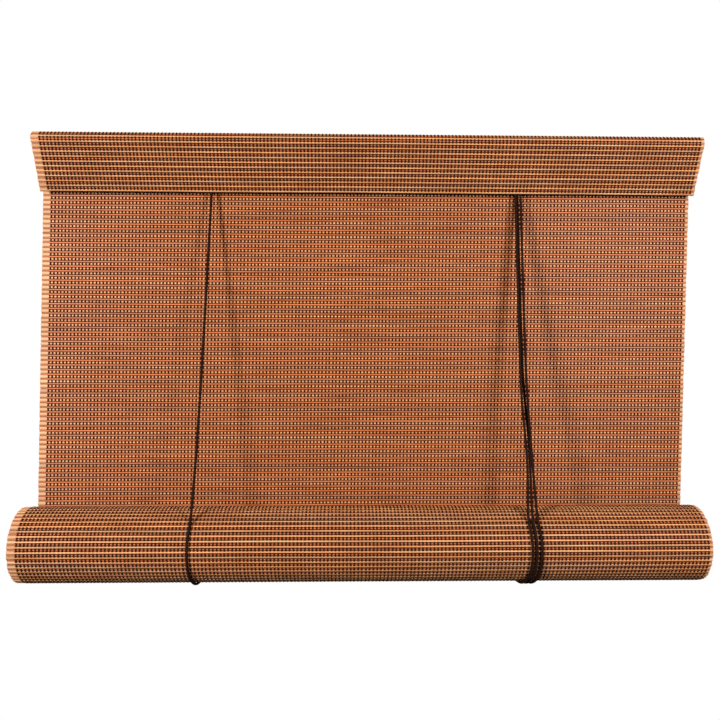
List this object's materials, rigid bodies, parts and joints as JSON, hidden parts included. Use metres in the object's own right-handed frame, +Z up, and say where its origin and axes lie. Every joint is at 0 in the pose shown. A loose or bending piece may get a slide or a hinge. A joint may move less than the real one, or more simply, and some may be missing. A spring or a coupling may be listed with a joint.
{
  "type": "roll up blind",
  "caption": "Roll up blind of woven bamboo sticks on a timber headrail, with a short apron, a part rolled sheet, lift cords round the roll, pulleys and a stored pull cord.",
  "frame": {"origin": "middle of the two fixing holes, on top of the sheet over the headrail", "axes": "+X to the right along the headrail, -Y towards the room, +Z up"},
  "size_m": [0.8092, 0.1111, 0.5346],
  "materials": {
    "woven_bamboo": "satin lacquered sticks",
    "warp_thread": "matt cotton yarn",
    "timber": "planed softwood",
    "zinc_steel": "zinc plated",
    "pulley_nylon": "moulded nylon",
    "cord": "braided cotton cord"
  },
  "bodies": {
    "headrail": {"headrail": "timber", "sheet_apron": "woven_bamboo", "sheet_panel": "woven_bamboo", "headrail_staples": "zinc_steel", "pulley_bracket_left": "zinc_steel", "pulley_bracket_right": "zinc_steel", "pulley_spacer_right": "zinc_steel", "pulley_pin_left": "zinc_steel", "pulley_pin_right": "zinc_steel", "pulley_screws": "zinc_steel", "screw_eye_left": "zinc_steel", "screw_eye_right": "zinc_steel", "cord_knot_left": "cord", "cord_knot_right": "cord", "coil_hook": "zinc_steel", "cross_cord": "cord", "right_pulley_cord": "cord", "lift_cord_left_front": "cord", "lift_cord_right_front": "cord", "pull_cord_one_front": "cord", "pull_cord_two_front": "cord", "lift_cord_left_back": "cord", "lift_cord_right_back": "cord", "pull_cord_one_back": "cord", "pull_cord_two_back": "cord", "pull_cord_coil": "cord", "coil_tie": "cord"},
    "slings": {"lift_cord_left_sling": "cord", "lift_cord_right_sling": "cord", "pull_cord_one_sling": "cord", "pull_cord_two_sling": "cord"},
    "roll": {"sheet_roll": "woven_bamboo", "bottom_batten": "timber", "batten_staples": "zinc_steel"},
    "wheel_left": {"pulley_wheel_left": "pulley_nylon"},
    "wheel_right_rear": {"pulley_wheel_right_rear": "pulley_nylon"},
    "wheel_right_front": {"pulley_wheel_right_front": "pulley_nylon"}
  },
  "joints": [
    {"name": "roll_lift", "type": "slide", "parent": "headrail", "child": "slings", "axis": [0, 0, 1], "range_m": [0, 0.35], "deforming": ["sheet_panel", "lift_cord_left_front", "lift_cord_right_front", "pull_cord_one_front", "pull_cord_two_front", "lift_cord_left_back", "lift_cord_right_back", "pull_cord_one_back", "pull_cord_two_back"]},
    {"name": "roll_turn", "type": "hinge", "parent": "slings", "child": "roll", "pos_m": [-0.0092, -0.0263, -0.487], "axis": [1, 0, 0], "range_deg": [-460.94, 0]},
    {"name": "wheel_left_turn", "type": "hinge", "parent": "headrail", "child": "wheel_left", "pos_m": [-0.1895, 0.0071, -0.0303], "axis": [0, 1, 0], "continuous": true},
    {"name": "wheel_right_rear_turn", "type": "hinge", "parent": "headrail", "child": "wheel_right_rear", "pos_m": [0.1826, 0.0071, -0.0303], "axis": [0, 1, 0], "continuous": true},
    {"name": "wheel_right_front_turn", "type": "hinge", "parent": "headrail", "child": "wheel_right_front", "pos_m": [0.1826, 0.0011, -0.0303], "axis": [0, 1, 0], "continuous": true}
  ],
  "couplings": [
    {"joint": "roll_turn", "follows": "roll_lift", "rad_per_m": -22.936},
    {"joint": "wheel_left_turn", "follows": "roll_lift", "rad_per_m": 500},
    {"joint": "wheel_right_rear_turn", "follows": "roll_lift", "rad_per_m": 500},
    {"joint": "wheel_right_front_turn", "follows": "roll_lift", "rad_per_m": 500}
  ]
}
